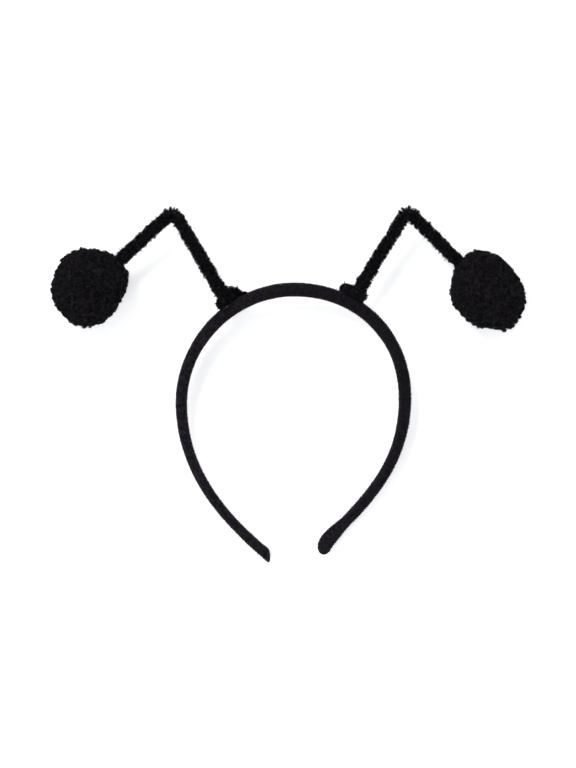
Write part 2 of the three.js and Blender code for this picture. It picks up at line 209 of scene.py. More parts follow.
class HoopLine:
    """The band's middle line from its left end over the crown to its right end, by arc length"""

    def __init__(self):
        self.half_span = HOOP_WIDTH / 2 - BAND_THICKNESS * band_share("thickness", 0.5) / 2
        self.crown_rise = CROWN_HEIGHT - BAND_THICKNESS / 2
        left, right = LEGS
        stretches = [
            self.leg(left)[::-1],
            self.quarter(left)[1:],
            self.quarter(right)[::-1][1:],
            self.leg(right)[1:],
        ]
        self.points = np.concatenate(stretches)
        self.lengths = np.concatenate([[0], np.cumsum(np.linalg.norm(np.diff(self.points, axis=0), axis=1))])
        self.crown = self.lengths[len(stretches[0]) + len(stretches[1]) - 1]
        self.tangents = unit(np.gradient(self.points, self.lengths, axis=0))

    def leg(self, leg, steps=900):
        widest = np.array([leg["side"] * self.half_span, leg["lift"] * LEG_DROP])
        tip = np.array([leg["side"] * leg["tip_out"] * self.half_span, -leg["tip_drop"] * LEG_DROP])
        lean = math.radians(leg["tip_lean"])
        below = widest - [0, leg["side_handle"] * LEG_DROP]
        before = tip + leg["tip_handle"] * LEG_DROP * np.array([leg["side"] * math.sin(lean), math.cos(lean)])
        t = np.linspace(0, 1, steps)[:, None]
        s = 1 - t
        return s ** 3 * widest + 3 * s * s * t * below + 3 * s * t * t * before + t ** 3 * tip

    def quarter(self, leg, steps=900):
        angle = np.linspace(0, math.pi / 2, steps)
        power = 2 / leg["fullness"]
        lift = leg["lift"] * LEG_DROP
        across = leg["side"] * self.half_span * np.clip(np.cos(angle), 0, 1) ** power
        return np.stack([across, lift + (self.crown_rise - lift) * np.sin(angle) ** power], axis=1)

    def at(self, distance):
        """Point and tangent at a distance from the crown, left negative"""
        place = np.clip(self.crown + distance, 0, self.lengths[-1])
        point = np.stack([np.interp(place, self.lengths, self.points[:, i]) for i in (0, 1)], axis=-1)
        tangent = np.stack([np.interp(place, self.lengths, self.tangents[:, i]) for i in (0, 1)], axis=-1)
        return point, unit(tangent)


hoop = HoopLine()


def by_leg(distance, key):
    return np.where(distance < 0, LEGS[0][key], LEGS[1][key])


def band_at(distance):
    """Everything about the band at distances from the crown"""
    distance = np.asarray(distance, float)
    leg_length = np.where(distance < 0, hoop.crown, hoop.lengths[-1] - hoop.crown)
    along = np.minimum(1, np.abs(distance) / leg_length)
    middle, tangent = hoop.at(distance)
    outward = np.stack([-tangent[..., 1], tangent[..., 0]], axis=-1)
    evening = 1 + (by_leg(distance, "thicken") - 1) * smooth(along, 0.1, 0.5)
    evening = evening + by_leg(distance, "tip_swell") * smooth(along, 0.7, 0.95)
    to_tip = leg_length - np.abs(distance)
    turned = smooth(TWIST_LENGTH - to_tip, 0, TWIST_LENGTH - TWIST_END)
    bulge = by_leg(distance, "bulge") * turned * smooth(to_tip, 0, TWIST_END)
    return dict(
        middle=middle - outward * bulge[..., None],
        tangent=tangent,
        outward=outward,
        thickness=BAND_THICKNESS * band_share("thickness", along) * evening,
        width=BAND_WIDTH * band_share("width", along),
        twist=np.radians(by_leg(distance, "twist")) * turned,
        side=by_leg(distance, "side"),
        slant=by_leg(distance, "slant"),
        fold=by_leg(distance, "fold"),
        to_tip=to_tip,
    )


def make_piece(name, points, faces, finish, shaded_smooth=True, cloth=None):
    """One mesh object; faces are arrays of quads or triangles, cloth two numbers for each of their corners"""
    mesh = bpy.data.meshes.new(name)
    corners = np.concatenate([np.asarray(group).ravel() for group in faces]).astype(np.int32)
    sizes = np.concatenate([np.full(len(group), np.shape(group)[1]) for group in faces]).astype(np.int32)
    mesh.vertices.add(len(points))
    mesh.vertices.foreach_set("co", np.ascontiguousarray(points, np.float32).ravel())
    mesh.loops.add(len(corners))
    mesh.loops.foreach_set("vertex_index", corners)
    mesh.polygons.add(len(sizes))
    starts = np.concatenate([[0], np.cumsum(sizes)[:-1]]).astype(np.int32)
    mesh.polygons.foreach_set("loop_start", starts)
    mesh.polygons.foreach_set("loop_total", sizes)
    mesh.polygons.foreach_set("use_smooth", np.full(len(sizes), shaded_smooth))
    if cloth is not None:
        layer = mesh.uv_layers.new(name="cloth")
        layer.data.foreach_set("uv", np.ascontiguousarray(cloth, np.float32).ravel())
    mesh.update(calc_edges=True)
    mesh.validate()
    mesh.materials.append(finish)
    piece = bpy.data.objects.new(name, mesh)
    bpy.context.scene.collection.objects.link(piece)
    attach(piece, "root")
    return piece


def skin(rings, sides, first=0):
    """Quads over rings of points that follow each other, closed round each ring"""
    ring, side = np.meshgrid(np.arange(rings - 1), np.arange(sides), indexing="ij")
    after = (side + 1) % sides
    here, next_ring = ring * sides, (ring + 1) * sides
    corners = [here + side, here + after, next_ring + after, next_ring + side]
    return np.stack(corners, axis=-1).reshape(-1, 4) + first


def lid(ring_first, sides, hub, outwards):
    side = np.arange(sides)
    after = (side + 1) % sides
    corners = [ring_first + side, ring_first + after, np.full(sides, hub)]
    return np.stack(corners if outwards else [corners[1], corners[0], corners[2]], axis=-1)


# Points round a band section: in each corner's quarter turn, and between the corners on its outer face, on each
# of its sides and on its inner face, where the lining lies
CORNER_POINTS = 6
OUTER_POINTS = 9
SIDE_POINTS = 3
LINING_POINTS = 16


def band_outline(thickness, width):
    """Rings of places across the thickness (outwards) and the width, and which lie on the flat inner face"""
    edge = np.minimum(BAND_EDGE, 0.48 * np.minimum(thickness, width))[:, None]
    high, wide = thickness[:, None] / 2, width[:, None] / 2
    turn = np.linspace(0, math.pi / 2, CORNER_POINTS)[None]
    parts = []
    for number, (up, out) in enumerate([(1, 1), (-1, 1), (-1, -1), (1, -1)]):
        angle = turn + number * math.pi / 2
        parts.append((up * (high - edge) + edge * np.cos(angle), out * (wide - edge) + edge * np.sin(angle)))
        count = [SIDE_POINTS, LINING_POINTS, SIDE_POINTS, OUTER_POINTS][number]
        share = np.linspace(0, 1, count + 2)[None, 1:-1]
        if number % 2 == 0:
            parts.append((up * (high - edge) * (1 - 2 * share), np.full_like(share, out) * wide))
        else:
            parts.append((np.full_like(share, up) * high, out * (wide - edge) * (1 - 2 * share)))
    outward = np.concatenate([np.broadcast_to(p[0], (len(thickness), p[0].shape[1])) for p in parts], axis=1)
    across = np.concatenate([np.broadcast_to(p[1], (len(thickness), p[1].shape[1])) for p in parts], axis=1)
    reach = np.clip(1 - np.abs(across) / np.maximum(wide - edge, 0.1), 0, 1)
    swelling = BAND_SWELL * (thickness[:, None] / BAND_THICKNESS) * np.sqrt(reach)
    outward = outward + np.where(outward > high - 0.01, swelling, 0)
    inner = outward < -high + 0.01
    return outward, across, inner


def band_cover(finish):
    """The padded fabric cover: its close outer cloth, the ribbon that lines it and its folded ends"""
    rounding = np.array([0.2, 0.38, 0.55, 0.7, 0.82, 0.91, 0.965, 0.993])
    rounds = [leg["round_length"] * BAND_THICKNESS for leg in LEGS]
    ends = [-(hoop.crown - rounds[0]), hoop.lengths[-1] - hoop.crown - rounds[1]]
    body = np.linspace(*ends, round((ends[1] - ends[0]) / RING_STEP))
    distance = np.concatenate([ends[0] - rounds[0] * rounding[::-1], body, ends[1] + rounds[1] * rounding])
    closing = np.concatenate([rounding[::-1], np.zeros(len(body)), rounding])
    at = band_at(distance)
    thin = (1 - closing ** 3) ** (1 / 3)
    narrow = np.sqrt(1 - closing ** 2)
    high, wide = at["thickness"] - 2 * NAP_ROOM, at["width"] - 2 * NAP_ROOM
    outward, across, inner = band_outline(high * thin, wide * narrow)
    to_tip = at["to_tip"][:, None]
    share = np.abs(across) / (wide * narrow / 2)[:, None]
    lining = LINING_RAISE * (1 - smooth(share, 0.5, 0.56)) * smooth(to_tip, 3.2, 3.8)
    fold = at["fold"][:, None] * (1 - smooth(to_tip, FOLD_LENGTH - 0.25, FOLD_LENGTH + 0.25)) * thin[:, None]
    outward = outward - np.where(inner, lining + fold, 0)
    places = np.stack(np.broadcast_arrays(distance[:, None], across * 1.7, outward * 1.4), axis=-1)
    shift = 1.5 * ripple(places, [8.3, 12.1, 21.0], seed=4)
    ribs = RIB_DEPTH * np.cos(distance[:, None] / RIB_PITCH * TAU + shift) * thin[:, None]
    outward = outward * (1 + ribs + 0.012 * ripple(places, [7.1, 11.3, 17.9, 29.0], seed=5))
    across = across * (1 + 0.7 * ribs + 0.009 * ripple(places, [5.3, 8.9, 13.7, 23.0], seed=6))

    sway = (at["side"] * at["twist"])[:, None]
    out = outward * np.cos(sway) - across * np.sin(sway)
    deep = outward * np.sin(sway) + across * np.cos(sway)
    fade = smooth(at["width"] - at["to_tip"], 0, at["width"])
    slide = (at["side"] * at["slant"] * fade)[:, None] * outward
    flat = at["middle"][:, None] + at["outward"][:, None] * out[..., None]
    flat = flat + at["tangent"][:, None] * slide[..., None]
    points = np.concatenate([flat, deep[..., None]], axis=-1)

    rings, sides = points.shape[:2]
    hubs = np.stack([points[0].mean(axis=0), points[-1].mean(axis=0)])
    hub = rings * sides
    lids = [lid(0, sides, hub, True), lid((rings - 1) * sides, sides, hub + 1, False)]
    faces = [skin(rings, sides)[:, ::-1], *lids]
    girth = np.linalg.norm(np.diff(points, axis=1, append=points[:, :1]), axis=-1)
    round_place = np.concatenate([np.zeros((rings, 1)), np.cumsum(girth, axis=1)], axis=1)
    cloth = cloth_corners(distance, round_place, rings, sides)
    pile_points, pile_faces, pile_cloth = cover_pile(points, distance, round_place)
    solid = (np.concatenate([points.reshape(-1, 3), hubs]), faces)
    points, faces = join(solid, (pile_points, pile_faces))
    cloth = np.concatenate([cloth, pile_cloth])
    lain = to_table(points)
    lain[:, 2] = np.maximum(lain[:, 2], COVER_REST * MM)
    piece = make_piece("band_cover", lain, faces, finish, cloth=cloth)
    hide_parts("hair_band")
    return piece


def cover_pile(points, distance, round_place):
    """The nap that stands on the cover, with its places in the cloth"""
    rng = np.random.default_rng(51)
    ahead = np.gradient(points, axis=0)
    around = np.roll(points, -1, axis=1) - np.roll(points, 1, axis=1)
    stand = unit(np.cross(around, ahead))
    ring = rng.uniform(4, len(points) - 5, COVER_PILE)
    i = ring.astype(int)
    j = rng.choice(points.shape[1], COVER_PILE, p=side_shares(points))
    along, beside = (ring - i)[:, None], rng.uniform(0, 1, (COVER_PILE, 1))
    after = (j + 1) % points.shape[1]

    def pick(grid):
        near = grid[i, j] * (1 - beside) + grid[i, after] * beside
        far = grid[i + 1, j] * (1 - beside) + grid[i + 1, after] * beside
        return near * (1 - along) + far * along

    root, up = pick(points), unit(pick(stand))
    lean = rng.normal(0, 0.55, root.shape)
    length = np.clip(rng.normal(0.42, 0.12, (COVER_PILE, 1)), 0.15, 0.9)
    tips = root + unit(up + lean * 0.8) * length
    blades, faces = fibre_blades(root - up * 0.1, tips, 0.11, 0.05, seed=52)
    place = np.stack([distance[i], round_place[i, j]], axis=1)
    return blades, faces, np.repeat(place, 4, axis=0)


def side_shares(points):
    """How much of the girth lies between each point round the section and the next"""
    middle = points[len(points) // 2]
    girth = np.linalg.norm(np.roll(middle, -1, axis=0) - middle, axis=1)
    return girth / girth.sum()


def cloth_corners(distance, round_place, rings, sides):
    """Places in the cloth, in millimetres, of each corner of the skin's quads and then of its lids"""
    ring, side = np.meshgrid(np.arange(rings - 1), np.arange(sides), indexing="ij")
    corners = [(ring + 1, side), (ring + 1, side + 1), (ring, side + 1), (ring, side)]
    quads = np.stack([
        np.stack([distance[r], round_place[r, s]], axis=-1) for r, s in corners
    ], axis=2).reshape(-1, 2)
    side = np.arange(sides)
    caps = []
    for ring in (0, rings - 1):
        places = [(distance[ring], round_place[ring, side]), (distance[ring], round_place[ring, side + 1])]
        places = places if ring == 0 else places[::-1]
        rim = [np.stack(np.broadcast_arrays(*place), axis=-1) for place in places]
        centre = np.stack([np.full(sides, distance[ring] + 1), round_place[ring, side]], axis=-1)
        caps.append(np.stack([*rim, centre], axis=1).reshape(-1, 2))
    return np.concatenate([quads, *caps])


class Strand:
    """A line of close points with a girth and a frame at each, in whatever space it is drawn in"""

    def __init__(self, points, girth, start_normal):
        self.points = points
        steps = np.linalg.norm(np.diff(points, axis=0), axis=1)
        self.lengths = np.concatenate([[0], np.cumsum(steps)])
        self.girth = girth
        self.tangents = unit(np.gradient(points, self.lengths, axis=0))
        normals = []
        normal = np.asarray(start_normal, float)
        for tangent in self.tangents:
            normal = unit(normal - tangent * (normal @ tangent))
            normals.append(normal)
        self.normals = np.array(normals)
        self.binormals = np.cross(self.tangents, self.normals)

    def pick(self, values, place):
        if values.ndim == 1:
            return np.interp(place, self.lengths, values)
        return np.stack([np.interp(place, self.lengths, values[:, i]) for i in range(3)], axis=-1)

    def reach(self, place, angle, radius, forward):
        """Points at a distance along the strand, out from it in a direction round it, and a little forward"""
        around = self.pick(self.normals, place) * np.cos(angle)[:, None]
        around = around + self.pick(self.binormals, place) * np.sin(angle)[:, None]
        point = self.pick(self.points, place) + around * np.asarray(radius)[:, None]
        return point + self.pick(self.tangents, place) * np.asarray(forward)[:, None]


def twisted_core(strand, sides=12, step=0.55, thick=0.66):
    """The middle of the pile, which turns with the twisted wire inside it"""
    count = max(6, round(strand.lengths[-1] / step))
    place = np.repeat(np.linspace(0, strand.lengths[-1], count), sides)
    angle = np.tile(np.arange(sides) / sides * TAU, count)
    lobes = 0.92 + 0.08 * np.cos(2 * (angle - place / WIRE_TWIST * TAU))
    end = np.minimum(place, strand.lengths[-1] - place)
    taper = np.sqrt(np.clip(end / 1.2 + 0.05, 0, 1))
    radius = STEM_RADIUS * strand.pick(strand.girth, place) * thick * lobes * taper
    points = strand.reach(place, angle, radius, np.zeros(len(place)))
    return points, [skin(count, sides)]


def stem_pile(strand, fibres_a_mm, seed, fullness=1.0):
    """Roots and tips of the pile's fibres: two combs that turn with the wire"""
    rng = np.random.default_rng(seed)
    count = int(fibres_a_mm * strand.lengths[-1])
    place = rng.uniform(0, strand.lengths[-1], count)
    clump = np.round(place / CLUMP_PITCH + rng.normal(0, 0.1, count)).astype(int)
    place = np.clip(place + CLUMP_PULL * (clump * CLUMP_PITCH - place), 0, strand.lengths[-1])
    comb = rng.integers(0, 2, count)
    swing = rng.normal(0, 0.85, count)
    angle = place / WIRE_TWIST * TAU + comb * math.pi + swing
    girth = strand.pick(strand.girth, place) * STEM_RADIUS * fullness
    uneven = rng.normal(0, 0.3, (2, clump.max() + 1))[comb, clump]
    length = girth * (1.03 - 0.1 * np.minimum(1.3, np.abs(swing)) ** 1.5) + uneven + rng.normal(0, 0.12, count)
    long_hair = rng.uniform(size=count) < LONG_HAIR_SHARE
    length = length + np.where(long_hair, rng.uniform(0.2, 0.8, count), 0)
    end = np.minimum(place, strand.lengths[-1] - place)
    roots = strand.reach(place, angle, girth * 0.3, np.zeros(count))
    lean = rng.normal(0, 0.14, count)
    tips = strand.reach(place, angle + lean, length * np.clip(0.75 + end / 4, 0, 1), rng.normal(0, 0.45, count))
    return roots, tips


def stem_tufts(strand, seed, fullness=1.0):
    """Roots and tips of the tufts that stick together, which give the stem its jagged edge"""
    rng = np.random.default_rng(seed)
    count = int(TUFTS_A_MM * strand.lengths[-1])
    place = rng.uniform(0.6, strand.lengths[-1] - 0.6, count)
    angle = rng.uniform(0, TAU, count)
    girth = strand.pick(strand.girth, place) * STEM_RADIUS * fullness
    end = np.minimum(place, strand.lengths[-1] - place)
    tooth = rng.uniform(size=count) < TOOTH_SHARE
    past = np.where(tooth, rng.uniform(*TOOTH_REACH, count), rng.exponential(0.14, count))
    length = (girth + past) * np.clip(0.75 + end / 4, 0, 1)
    roots = strand.reach(place, angle, girth * 0.6, rng.normal(0, 0.2, count))
    tips = strand.reach(place, angle + rng.normal(0, 0.06, count), length, rng.normal(0, 0.3, count))
    return roots, tips


def fibre_blades(roots, tips, root_width, tip_width, seed):
    """A narrow blade for each fibre"""
    rng = np.random.default_rng(seed)
    along = unit(tips - roots)
    side = unit(np.cross(along, rng.normal(size=along.shape)))
    points = np.stack([
        roots - side * root_width / 2,
        roots + side * root_width / 2,
        tips + side * tip_width / 2,
        tips - side * tip_width / 2,
    ], axis=1)
    return points.reshape(-1, 3), [np.arange(len(roots) * 4).reshape(-1, 4)]


def join(*meshes):
    """Points and faces of several meshes as those of one"""
    points, quads, first = [], [], 0
    for mesh_points, faces in meshes:
        points.append(mesh_points)
        quads += [group + first for group in faces]
        first += len(mesh_points)
    return np.concatenate(points), quads


def soft_line(rows, count):
    """A smooth line through rows, at count places"""
    rows = np.asarray(rows, float)
    padded = np.concatenate([2 * rows[:1] - rows[1:2], rows, 2 * rows[-1:] - rows[-2:-1]])
    place = np.linspace(0, len(rows) - 1, count)
    i = np.minimum(place.astype(int), len(rows) - 2)
    t = (place - i)[:, None]
    a, b, c, d = (padded[i + k] for k in range(4))
    return 0.5 * (2 * b + (c - a) * t + (2 * a - 5 * b + 4 * c - d) * t ** 2 + (3 * b - a - 3 * c + d) * t ** 3)


def on_band(antenna, points):
    """Turns places out along the band, off its outer face and deep to points of the hoop's plane"""
    at = band_at(antenna["side"] * (antenna["foot_at"] + points[:, 0]))
    height = at["thickness"] / 2 + BAND_SWELL + points[:, 1]
    flat = at["middle"] + at["outward"] * height[:, None]
    return np.concatenate([flat, points[:, 2:]], axis=1)


def rest_on_cover(points):
    """Lifts what would sink into the band's rounded outer face"""
    flat_half = BAND_WIDTH / 2 - BAND_EDGE
    over = np.clip(np.abs(points[:, 2]) - flat_half, 0, BAND_EDGE)
    face = -BAND_SWELL * np.clip(np.abs(points[:, 2]) / flat_half, 0, 1)
    face = face - BAND_EDGE + np.sqrt(BAND_EDGE ** 2 - over ** 2)
    held = np.maximum(points[:, 1], face - NAP_PRESS)
    lifted = points.copy()
    lifted[:, 1] = np.where(np.abs(points[:, 2]) < BAND_WIDTH / 2, held, points[:, 1])
    return lifted


def foot_strand(antenna):
    rows = np.array(antenna["foot"])
    out, lift, front, girth = rows.T
    height = SEAT_GAP - FOOT_SINK + (lift + girth / 2) * STEM_DIAMETER
    places = np.stack([out * STEM_DIAMETER, height, front * STEM_DIAMETER, girth])
    line = soft_line(places.T, 240)
    return Strand(line[:, :3], line[:, 3], start_normal=(0, 1, 0))


def antenna_places(antenna):
    """Where the riser leaves the foot, its knee and the pompom's middle, with both directions"""
    side = antenna["side"]
    lean, drop_lean = math.radians(antenna["riser_lean"]), math.radians(antenna["drop_lean"])
    rise = np.array([side * math.sin(lean), math.cos(lean), 0])
    drop = np.array([side * math.sin(drop_lean), -math.cos(drop_lean), 0])
    start = np.array([[antenna["riser_out"], SEAT_GAP + (RISER_START + 0.5) * STEM_DIAMETER, 0]])
    base = on_band(antenna, start)[0]
    knee = base + rise * antenna["riser_length"]
    return base, rise, knee, drop, knee + drop * antenna["drop_length"]


def stem_strand(antenna):
    """The riser, the sharp knee and the drop into the pompom"""
    base, rise, knee, drop, pompom = antenna_places(antenna)
    planted_height = SEAT_GAP + (RISER_PLANT + PLANT_GIRTH / 2) * STEM_DIAMETER
    planted = on_band(antenna, np.array([[antenna["riser_out"], planted_height, 0]]))[0]
    half = math.acos(float(-rise @ drop)) / 2
    set_back = KNEE_RADIUS / math.tan(half)
    bend_in, bend_out = knee - rise * set_back, knee + drop * set_back
    hub = knee + unit(drop - rise) * KNEE_RADIUS / math.sin(half)
    share = np.linspace(0, 1, BEND_POINTS)[:, None]
    bend = hub + unit((1 - share) * unit(bend_in - hub) + share * unit(bend_out - hub)) * KNEE_RADIUS
    reach = min(antenna["across"], antenna["tall"]) / 2
    end = pompom + drop * (SOCKET_DEPTH - reach)
    before_bend = [planted[None], base[None]]
    rough = np.concatenate([*before_bend, bend, end[None]])
    lengths = np.concatenate([[0], np.cumsum(np.linalg.norm(np.diff(rough, axis=0), axis=1))])
    place = np.linspace(0, lengths[-1], round(lengths[-1] / 0.3))
    line = np.stack([np.interp(place, lengths, rough[:, i]) for i in range(3)], axis=1)
    wander = 0.22 * ripple(place[:, None], [19.0, 31.0, 47.0], seed=11 + antenna["side"])
    settle = smooth(place, 4, 14) * smooth(lengths[-1] - place, 12, 20)
    line[:, 0] += wander * settle
    line[:, 2] += np.roll(wander, 40) * settle
    girth = antenna["bushy"] + 0.035 * ripple(place[:, None], [6.0, 9.5, 16.0], seed=21 + antenna["side"])
    girth = girth * (PLANT_GIRTH + (1 - PLANT_GIRTH) * smooth(place, 0, 3))
    girth = girth + antenna["skirt"] * (1 - smooth(place, SKIRT_LENGTH / 2, SKIRT_LENGTH))
    knee_place = lengths[len(before_bend) + BEND_POINTS // 2]
    girth = girth + KNEE_SWELL * np.exp(-((place - knee_place) / KNEE_SPREAD) ** 2)
    return Strand(line, girth, start_normal=(0, 0, 1))


def antenna_piece(antenna, finish):
    """The curled foot, the stem and their pile as one piece"""
    foot = foot_strand(antenna)
    stem = stem_strand(antenna)
    seed = 100 + 10 * antenna["side"]
    foot_core, foot_faces = twisted_core(foot)
    foot_core = on_band(antenna, rest_on_cover(foot_core))
    parts = [(foot_core, foot_faces), twisted_core(stem)]
    foot_shade_marks = [1, 0]
    piles = [
        (stem_pile(foot, FOOT_FIBRES_A_MM, seed, FOOT_FULLNESS), True, FIBRE_WIDTHS),
        (stem_tufts(foot, seed + 1, FOOT_FULLNESS), True, TUFT_WIDTHS),
        (stem_pile(stem, STEM_FIBRES_A_MM, seed + 2), False, FIBRE_WIDTHS),
        (stem_tufts(stem, seed + 3), False, TUFT_WIDTHS),
    ]
    for number, (ends, on_foot, widths) in enumerate(piles):
        if on_foot:
            ends = [on_band(antenna, rest_on_cover(points)) for points in ends]
        parts.append(fibre_blades(*ends, *widths, seed + 4 + number))
        foot_shade_marks.append(int(on_foot))
    points, faces = join(*parts)
    # Painted shade: the foot's parts are marked so that the pile on them is darkened
    foot_shade_mark = np.repeat(foot_shade_marks, [len(part_points) for part_points, part_faces in parts])
    foot_shade = antenna["foot_shade"] * foot_shade_mark[np.concatenate([group.ravel() for group in faces])]
    cloth = np.stack([foot_shade, np.zeros(len(foot_shade))], axis=1)
    name = "chenille_" + antenna["name"]
    piece = make_piece(name, to_table(points), faces, finish, shaded_smooth=False, cloth=cloth)
    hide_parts("antenna_" + antenna["name"])
    return piece


def even_directions(count, rng, scatter):
    """Directions spread over a ball and shaken a little"""
    i = np.arange(count)
    level = 1 - 2 * (i + 0.5) / count
    ring = np.sqrt(1 - level ** 2)
    angle = math.pi * (3 - math.sqrt(5)) * i
    even = np.stack([ring * np.cos(angle), ring * np.sin(angle), level], axis=1)
    return unit(even + rng.normal(0, scatter, even.shape))


def sideways(vectors, outward):
    """What of the vectors lies square to the outward directions"""
    return vectors - outward * np.einsum("ij,ij->i", vectors, outward)[:, None]


def pompom_reach(antenna, directions):
    """How far the clipped head reaches in each direction of the hoop's plane, in millimetres"""
    turn = math.radians(antenna["turn"])
    x = directions[:, 0] * math.cos(turn) + directions[:, 1] * math.sin(turn)
    y = -directions[:, 0] * math.sin(turn) + directions[:, 1] * math.cos(turn)
    half = np.array([antenna["across"], antenna["tall"], POMPOM_DEPTH]) / 2
    reach = 1 / np.linalg.norm(np.stack([x, y, directions[:, 2]], axis=1) / half, axis=1)
    for heading, height, spread in CLIPPING[antenna["name"]]:
        pole = np.array([math.cos(math.radians(heading)), math.sin(math.radians(heading)), 0])
        off = np.degrees(np.arccos(np.clip(directions @ pole, -1, 1)))
        reach = reach + height * np.exp(-(off / spread) ** 2)
    return reach + 0.28 * ripple(directions * 20, [9.0, 13.0, 19.0], seed=31 + antenna["side"])


def pompom_piece(antenna, finish):
    """Wound and clipped yarn: tufts of fibres that spread from the tied middle"""
    seed = 200 + 10 * antenna["side"]
    rng = np.random.default_rng(seed)
    middle = antenna_places(antenna)[4]
    tufts = even_directions(POMPOM_TUFTS, rng, 0.02)
    tuft_length = rng.normal(0, 0.48, POMPOM_TUFTS)
    tuft = np.repeat(np.arange(POMPOM_TUFTS), TUFT_FIBRES)
    outward = tufts[tuft]
    reach = pompom_reach(antenna, outward) - TUFT_CUT + tuft_length[tuft]
    spread = sideways(rng.normal(0, TUFT_SPREAD, outward.shape), outward)
    off = np.linalg.norm(spread, axis=1)
    bloomed = rng.uniform(size=len(tuft)) < BLOOMED_SHARE
    height = reach - 0.5 * (off / TUFT_SPREAD / 2) ** 2 - np.abs(rng.normal(0, 0.22, len(tuft)))
    stray = rng.uniform(size=len(tuft)) < STRAY_SHARE
    height = height + np.where(stray, rng.uniform(0.2, 0.9, len(tuft)), 0)
    lean = sideways(rng.normal(0, 1, outward.shape), outward) * np.where(bloomed, 0.85, 0.3)[:, None]
    stand = np.where(bloomed, rng.uniform(0.5, 1.4, len(tuft)), 3.2)
    tips = middle + outward * height[:, None] + spread
    roots = middle + outward * (height - stand)[:, None] + 0.7 * spread + lean
    fibres = fibre_blades(roots, tips, *YARN_WIDTHS, seed + 1)

    rings, sides = 30, 44
    polar = np.repeat(np.linspace(0.02, math.pi - 0.02, rings), sides)
    round_angle = np.tile(np.arange(sides) / sides * TAU, rings)
    core_heading = np.stack([
        np.sin(polar) * np.cos(round_angle),
        np.sin(polar) * np.sin(round_angle),
        np.cos(polar),
    ], axis=1)
    uneven = 0.3 * ripple(core_heading * 20, [4.0, 6.0, 8.0], seed + 2)
    packed = 0.9 * pompom_reach(antenna, core_heading) + uneven
    core = middle + core_heading * packed[:, None]
    points, faces = join((core, [skin(rings, sides)]), fibres)
    lain = to_table(points)
    lain[:, 2] = np.maximum(lain[:, 2], YARN_REST * MM)
    name = "yarn_" + antenna["name"]
    piece = make_piece(name, lain, faces, finish, shaded_smooth=False)
    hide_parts("pompom_" + antenna["name"])
    return piece


def glue_piece(finish):
    """The bead of clear glue squeezed out under the left foot"""
    antenna = ANTENNAE[0]
    at = band_at(antenna["side"] * (antenna["foot_at"] + GLUE_OUT))
    rings, sides = 18, 28
    polar = np.repeat(np.linspace(0.05, math.pi - 0.05, rings), sides)
    round_angle = np.tile(np.arange(sides) / sides * TAU, rings)
    ball = np.stack([
        np.cos(polar),
        np.sin(polar) * np.cos(round_angle),
        np.sin(polar) * np.sin(round_angle),
    ], axis=1)
    ball = ball * (1 + 0.07 * ripple(ball, [1.3, 1.9, 2.6], seed=41))[:, None]
    along, out, deep = (ball * np.array(GLUE_SIZE) / 2).T
    height = at["thickness"] / 2 - 0.5 + out
    flat = at["middle"] + at["tangent"] * along[:, None] + at["outward"] * height[:, None]
    points = np.concatenate([flat, (at["width"] / 2 + 0.05 + deep)[:, None]], axis=1)
    piece = make_piece("glue_bead", to_table(points), [skin(rings, sides)], finish)
    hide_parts("glue_bead_left")
    return piece


class Value:
    """A number that changes over a surface: a socket of a finish's nodes, for use in sums"""

    def __init__(self, finish, socket):
        self.finish = finish
        self.socket = socket

    def math(self, operation, *others):
        inputs = dict(enumerate([self, *others]))
        return self.finish.node("ShaderNodeMath", dict(operation=operation), inputs)

    def reflected(self, operation, other):
        return self.finish.node("ShaderNodeMath", dict(operation=operation), {0: other, 1: self})

    def __add__(self, other):
        return self.math("ADD", other)

    def __sub__(self, other):
        return self.math("SUBTRACT", other)

    def __mul__(self, other):
        return self.math("MULTIPLY", other)

    def __rsub__(self, other):
        return self.reflected("SUBTRACT", other)

    __radd__ = __add__
    __rmul__ = __mul__

    def wave(self):
        """A sine of it, between 0 and 1"""
        return self.math("SINE") * 0.5 + 0.5

    def between(self, low, high):
        """0 below low, 1 above high and smooth between them"""
        settings = dict(interpolation_type="SMOOTHSTEP")
        inputs = {"Value": self, "From Min": low, "From Max": high}
        return self.finish.node("ShaderNodeMapRange", settings, inputs)


class Finish:
    """The nodes of one material"""

    def __init__(self, name):
        self.material = bpy.data.materials.new(name)
        self.material.use_nodes = True
        self.tree = self.material.node_tree
        self.tree.nodes.clear()
        self.places = self.node("ShaderNodeTexCoord", {}, {}, "Object")

    def node(self, kind, settings, inputs, output=0):
        """Adds a node with its settings, then fills its sockets with numbers, colours or other outputs"""
        node = self.tree.nodes.new(kind)
        for key, value in settings.items():
            setattr(node, key, value)
        for key, value in inputs.items():
            socket = node.inputs[key]
            if isinstance(value, Value):
                self.tree.links.new(value.socket, socket)
            else:
                socket.default_value = value
        return Value(self, node.outputs[output])

    def noise(self, size, detail=2.0, roughness=0.5):
        """Uneven values whose blotches are about size millimetres across"""
        inputs = {"Vector": self.places, "Scale": 1 / (size * MM), "Detail": detail, "Roughness": roughness}
        return self.node("ShaderNodeTexNoise", {}, inputs, "Fac")

    def mix(self, share, first, second):
        """A colour between two colours"""
        inputs = {0: share, 6: first, 7: second}
        return self.node("ShaderNodeMix", dict(data_type="RGBA"), inputs, 2)

    def bump(self, height, depth, strength=1.0):
        """A normal from a height between 0 and 1 that stands depth millimetres proud"""
        inputs = {"Height": height, "Distance": depth * MM, "Strength": strength}
        return self.node("ShaderNodeBump", {}, inputs, "Normal")

    def surface(self, **inputs):
        """The shader and the output; names are its sockets' names with underscores for spaces"""
        sockets = {key.replace("_", " "): value for key, value in inputs.items()}
        shader = self.node("ShaderNodeBsdfPrincipled", {}, sockets, "BSDF")
        self.node_output(shader)
        return self.material

    def node_output(self, shader):
        out = self.tree.nodes.new("ShaderNodeOutputMaterial")
        self.tree.links.new(shader.socket, out.inputs["Surface"])


def rgb(red, green, blue):
    return (red, green, blue, 1.0)


